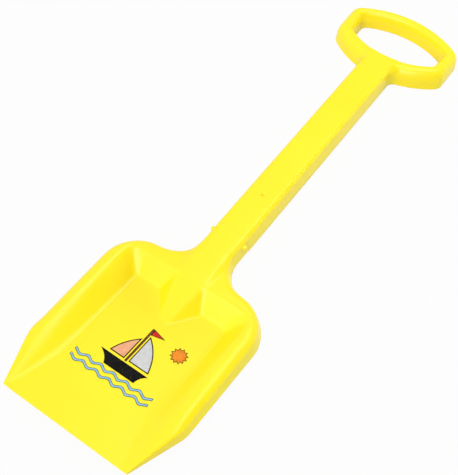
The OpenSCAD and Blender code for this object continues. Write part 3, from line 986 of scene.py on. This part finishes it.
# %% [markdown]
# Each printed shape is a flat outline of a few points on the tilted floor. Its face is inset, so that
# a black line runs round it, and then lifted by the thickness of the ink.

# %% Print shapes
print_low, print_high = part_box("print")
print_half = print_high.x
print_back = print_high.y - front_y
floor_tilt = math.atan((front_z - wall) / heel_len)
ink_lift, ink_t = 0.00003, 0.00012
ink_line = 0.0009
line_w = {"mast": 0.0003, "pennant": 0.0005, "wave": 0.0004, "sun": 0.0005}
fan_limit = 40
print_frame = (Matrix.Translation((0, front_y + print_back, floor_z(print_back)))
               @ Matrix.Rotation(-floor_tilt, 4, "X") @ Matrix.Translation((0, 0, ink_lift)))


def printed(name, outline, colour):
    """A printed shape: an outline in the print's own frame, with a black line round it."""
    bm = bmesh.new()
    face = bm.faces.new([bm.verts.new((x, y, 0)) for x, y in outline])
    bm.normal_update()
    if face.normal.z < 0:
        bmesh.ops.reverse_faces(bm, faces=[face])
    bmesh.ops.triangulate(bm, faces=[f for f in bm.faces if len(f.verts) > fan_limit])
    ring = bmesh.ops.inset_region(bm, faces=bm.faces[:], thickness=line_w.get(colour, ink_line),
                                  use_boundary=True, use_even_offset=True)["faces"]
    for rim in ring:
        rim.material_index = 1
    lifted = bmesh.ops.extrude_face_region(bm, geom=bm.faces[:])
    verts = [g for g in lifted["geom"] if isinstance(g, bmesh.types.BMVert)]
    bmesh.ops.translate(bm, verts=verts, vec=(0, 0, ink_t))
    bmesh.ops.recalc_face_normals(bm, faces=bm.faces[:])
    bmesh.ops.transform(bm, matrix=print_frame, verts=bm.verts[:])
    piece = new_piece(name, bm, inks[colour], inks["line"])
    for polygon in piece.data.polygons:
        polygon.use_smooth = False
    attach(piece, "blade")
    return piece


def bow_line(start, stop, belly, count=10):
    """Points from start to stop along a shallow curve that bellies to the left of the way."""
    (x, y), (to_x, to_y) = start, stop
    made = []
    for i in range(count + 1):
        t = i / count
        off = 4 * t * (1 - t) * belly
        made.append((mix(x, to_x, t) - off * (to_y - y), mix(y, to_y, t) + off * (to_x - x)))
    return made


print("print reaches", round(print_half, 4), "to each side, from", round(print_low.y, 4),
      "to", round(print_high.y, 4))

# %% [markdown]
# The boat's parts are drawn from the mast's top downwards. Curved edges come from the helper above.

# %% Boat
mast_h, mast_w, hull_h, deck = 0.036, 0.002, 0.010, 0.023
gap = 0.0012
mast_foot, hull_foot = -mast_h - gap, -mast_h - gap - hull_h
sail_foot, luff = -mast_h + gap, mast_w / 2 + gap
pennant_h, flag_len = 0.006, 0.012
bow_rake, stern_rake = 0.011, 0.006
main_w, jib_w, jib_drop = 0.019, 0.014, 0.005
bow_belly, stern_belly, main_belly, jib_belly = -0.10, -0.12, -0.09, 0.07

stern = bow_line((deck, mast_foot), (deck - stern_rake, hull_foot), stern_belly)
bow = bow_line((-deck + bow_rake, hull_foot), (-deck, mast_foot), bow_belly)
hull_line = [(-deck, mast_foot), (deck, mast_foot)] + stern[1:] + bow[:-1]
main_head = sail_foot + mast_h - pennant_h - 2 * gap
main_line = [(luff, sail_foot)] + bow_line((luff + main_w, sail_foot), (luff, main_head), main_belly)
jib_line = [(-luff, sail_foot)] + bow_line((-luff - jib_w, sail_foot), (-luff, main_head - jib_drop), jib_belly)
mast_line = [(-mast_w / 2, -mast_h), (mast_w / 2, -mast_h), (mast_w / 2, 0), (-mast_w / 2, 0)]
flag_line = [(mast_w / 2, -pennant_h), (mast_w / 2 + flag_len, -pennant_h / 2), (mast_w / 2, 0)]
print_pieces = [
    printed("print_hull", hull_line, "hull"),
    printed("print_main_sail", main_line, "sail"),
    printed("print_jib", jib_line, "jib"),
    printed("print_mast", mast_line, "mast"),
    printed("print_pennant", flag_line, "pennant"),
]
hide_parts("print")
print(len(print_pieces), "shapes in the boat")

# %% [markdown]
# Two wavy bands lie below the hull. The sun stands at the print's right edge, level with the mast's top.

# %% Waves and sun
wave_len, wave_t, wave_rise, wave_pitch = 0.0125, 0.0024, 0.0013, 0.006
wave_n, wave_count = 72, 2
sun_r, sun_points, ray_share = 0.0075, 24, 0.72


def wave_line(middle):
    steps = [mix(-print_half, print_half, i / wave_n) for i in range(wave_n + 1)]
    crest = [(x, middle + wave_rise * math.cos(2 * math.pi * x / wave_len)) for x in steps]
    return crest + [(x, y - wave_t) for x, y in reversed(crest)]


def sun_line():
    """A disc with short pointed rays, as one outline."""
    made = []
    for i in range(sun_points):
        a = 2 * math.pi * i / sun_points
        r = sun_r if i % 2 == 0 else sun_r * ray_share
        made.append((print_half - sun_r + r * math.cos(a), -sun_r + r * math.sin(a)))
    return made


for row in range(wave_count):
    middle = hull_foot - gap - wave_rise - row * wave_pitch
    print_pieces.append(printed(f"print_wave_{row + 1}", wave_line(middle), "wave"))
print_pieces.append(printed("print_sun", sun_line(), "sun"))
print(len(print_pieces), "printed shapes")

# %% [markdown]
# The floor is a pale studio sheet under the shovel. To the camera it is nearly white, like a product
# shot, and it keeps a soft shadow. The light is a soft lamp overhead, a wider one in front, a low one
# that fills the right side, and a pale sky that is brighter on the left. Together they are no more than
# a plain level, so that a colour renders about as it is written.

# %% Floor and light
floor_reach, floor_down = 6, 0.0001
paper_grey, seen_white = 0.60, 0.95
sky_tilt = 0.25
sky_left, sky_right = -0.6, 0.9
sky_bright, sky_dim = 0.85, 0.13


def higher(tree, a, b):
    return add(tree, "Math", {0: a, 1: b}, operation="MAXIMUM").outputs[0]


def studio_floor():
    bm = bmesh.new()
    bmesh.ops.create_grid(bm, x_segments=1, y_segments=1, size=floor_reach,
                          matrix=Matrix.Translation((0, 0, -floor_down)))
    floor = new_piece("studio_floor", bm)
    finish, tree, shader = new_finish("studio_paper")
    shader.inputs["Base Color"].default_value = (paper_grey, paper_grey, paper_grey, 1)
    shader.inputs["Roughness"].default_value = 0.9
    shader.inputs["Specular IOR Level"].default_value = 0.0
    rays = add(tree, "LightPath").outputs
    seen = higher(tree, rays["Is Camera Ray"], rays["Is Glossy Ray"])
    seen = higher(tree, seen, rays["Is Transmission Ray"])
    share = add(tree, "Math", {0: seen, 1: seen_white}, operation="MULTIPLY").outputs[0]
    glow = add(tree, "Emission", {"Color": (1, 1, 1, 1), "Strength": 1.0}).outputs[0]
    both = add(tree, "MixShader", {0: share, 1: shader.outputs[0], 2: glow}).outputs[0]
    tree.links.new(both, tree.nodes["Material Output"].inputs["Surface"])
    floor.data.materials.append(finish)
    return floor


def soft_lamp(name, spot, target, size, power):
    lamp = bpy.data.lights.new(name, "AREA")
    lamp.shape = "ELLIPSE"
    lamp.size, lamp.size_y = size
    lamp.energy = power
    obj = bpy.data.objects.new(name, lamp)
    obj.location = spot
    obj.rotation_euler = (Vector(target) - Vector(spot)).to_track_quat("-Z", "Y").to_euler()
    bpy.context.scene.collection.objects.link(obj)
    return obj


studio_floor()
key = soft_lamp("overhead_lamp", spot=(0.10, 0.30, 1.00), target=(0.10, 0.30, 0), size=(0.6, 0.95), power=3.5)
soft_lamp("front_lamp", spot=(0.30, -2.00, 1.45), target=(0, 0.05, 0), size=(2.0, 1.6), power=29.0)
fill = soft_lamp("side_lamp", spot=(1.40, 2.00, 0.55), target=(0, 0, 0), size=(2.4, 1.0), power=32.0)
fill.visible_glossy = False
sky = bpy.data.worlds.new("studio_sky")
sky.use_nodes = True
sky_tree = sky.node_tree
way = add(sky_tree, "SeparateXYZ", {0: add(sky_tree, "TexCoord").outputs["Generated"]}).outputs
across_sky = add(sky_tree, "Math", {0: way[1], 1: sky_tilt, 2: way[0]}, operation="MULTIPLY_ADD").outputs[0]
level = spread(sky_tree, across_sky, sky_left, sky_right, sky_bright, sky_dim)
sky_rays = add(sky_tree, "LightPath").outputs
shown = higher(sky_tree, sky_rays["Is Camera Ray"], sky_rays["Is Transmission Ray"])
level = add(sky_tree, "Mix", {0: shown, 2: level, 3: 1.0}).outputs[0]
back = sky_tree.nodes["Background"]
back.inputs["Color"].default_value = (1, 1, 1, 1)
sky_tree.links.new(level, back.inputs["Strength"])
bpy.context.scene.world = sky
bpy.context.scene.view_settings.view_transform = "Standard"
print("overhead lamp", key.data.energy, "W; floor and sky set")

# %% [markdown]
# The camera stands where the photograph was taken: to the right of the front edge, well above, about
# three quarters of a metre away. The picture is 475 pixels high, and the lens follows from that.

# %% Camera
azimuth, elevation, roll = math.radians(35.056), math.radians(56.459), math.radians(0.627)
distance = 0.736766
target = Vector((0.002174, -0.057686, top_z))
focal_px, image_h = 898.527, 475

back_way = Vector((math.sin(azimuth) * math.cos(elevation), -math.cos(azimuth) * math.cos(elevation),
                   math.sin(elevation)))
right_way = Vector((math.cos(azimuth), math.sin(azimuth), 0))
up_way = back_way.cross(right_way)
right_rolled = math.cos(roll) * right_way + math.sin(roll) * up_way
up_rolled = math.cos(roll) * up_way - math.sin(roll) * right_way
lens = bpy.data.cameras.new("photo_camera")
lens.sensor_fit = "VERTICAL"
lens.sensor_height = 36
lens.lens = focal_px * lens.sensor_height / image_h
lens.clip_start = 0.01
camera = bpy.data.objects.new("photo_camera", lens)
turned = Matrix((right_rolled, up_rolled, back_way)).transposed().to_4x4()
camera.matrix_world = Matrix.Translation(target + distance * back_way) @ turned
bpy.context.scene.collection.objects.link(camera)
bpy.context.scene.camera = camera
print("lens", round(lens.lens, 2), "mm at", [round(v, 3) for v in camera.location])
